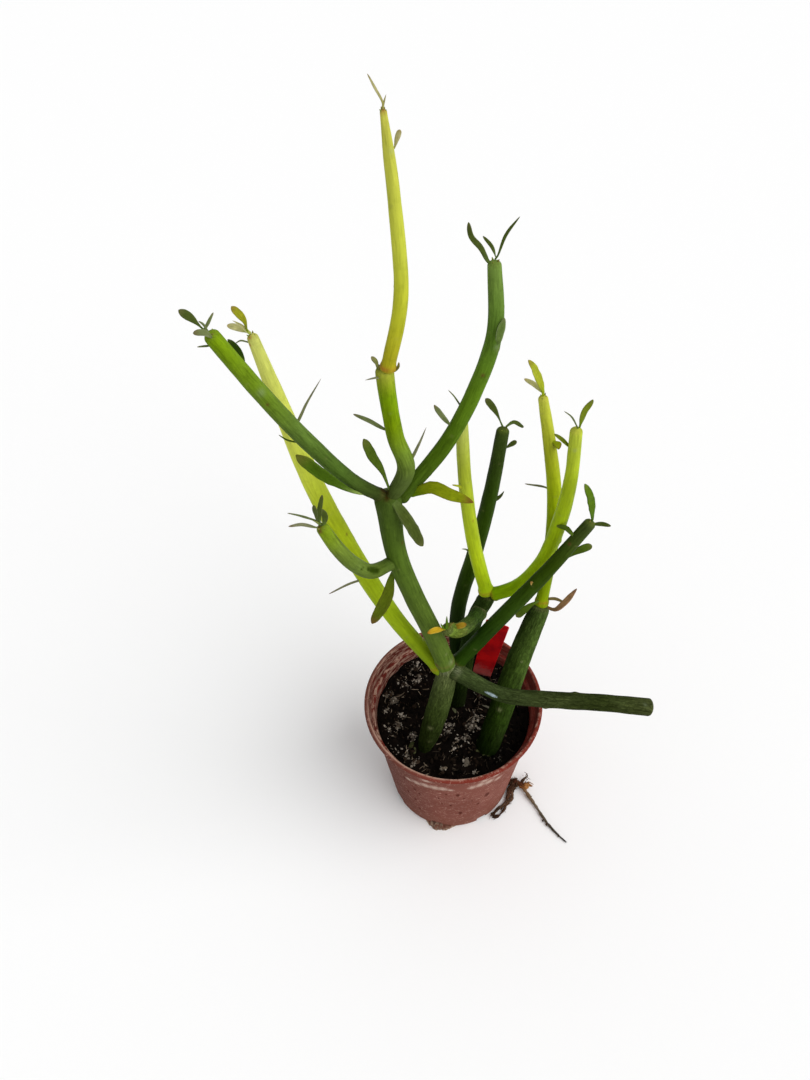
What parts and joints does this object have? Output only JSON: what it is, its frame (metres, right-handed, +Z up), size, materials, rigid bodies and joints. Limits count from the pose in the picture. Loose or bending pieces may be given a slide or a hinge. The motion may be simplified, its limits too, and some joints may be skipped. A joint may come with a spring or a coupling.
{
  "type": "potted euphorbia",
  "caption": "Pencil euphorbia cuttings with thin fleshy leaves, standing in dark peat in a small round plastic nursery pot.",
  "frame": {"origin": "centre of the pot's underside, on the flat disc that stands on the table", "axes": "+Z up along the pot's axis, +X to the side that the low bare arm points to, +Y towards the back"},
  "size_m": [0.1777, 0.09, 0.391],
  "materials": {
    "pot_plastic": "thin moulded terracotta-coloured plastic, dulled and scuffed, with lime and soil stains",
    "peat": "dark crumbly peat with pale grit and shreds of bark",
    "label_plastic": "plain red sheet plastic, soil-stained at its foot",
    "dry_root": "dried fibrous root, rough",
    "old_bark": "older succulent stem, finely fissured lengthwise, dull grey-green",
    "green_stem": "smooth waxy green succulent stem with fine lengthwise streaks",
    "yellow_stem": "smooth waxy yellow-green new growth"
  },
  "bodies": {
    "root": {"pot": "pot_plastic", "soil": "peat", "soil_crust": "peat", "plant_label": "label_plastic", "escaped_root": "dry_root", "front_trunk": "old_bark", "middle_trunk": "old_bark", "right_trunk": "old_bark", "low_bare_arm": "old_bark", "middle_stub": "old_bark", "main_stem": "green_stem", "centre_stem": "green_stem", "right_green_shoot": "green_stem", "left_green_shoot": "green_stem", "hooked_side_shoot": "green_stem", "slanting_shoot": "green_stem", "dark_back_shoot": "green_stem", "yellow_top_shoot": "yellow_stem", "long_yellow_shoot": "yellow_stem", "curved_yellow_shoot": "yellow_stem", "upright_yellow_shoot": "yellow_stem", "right_yellow_shoot": "yellow_stem"}
  },
  "joints": []
}
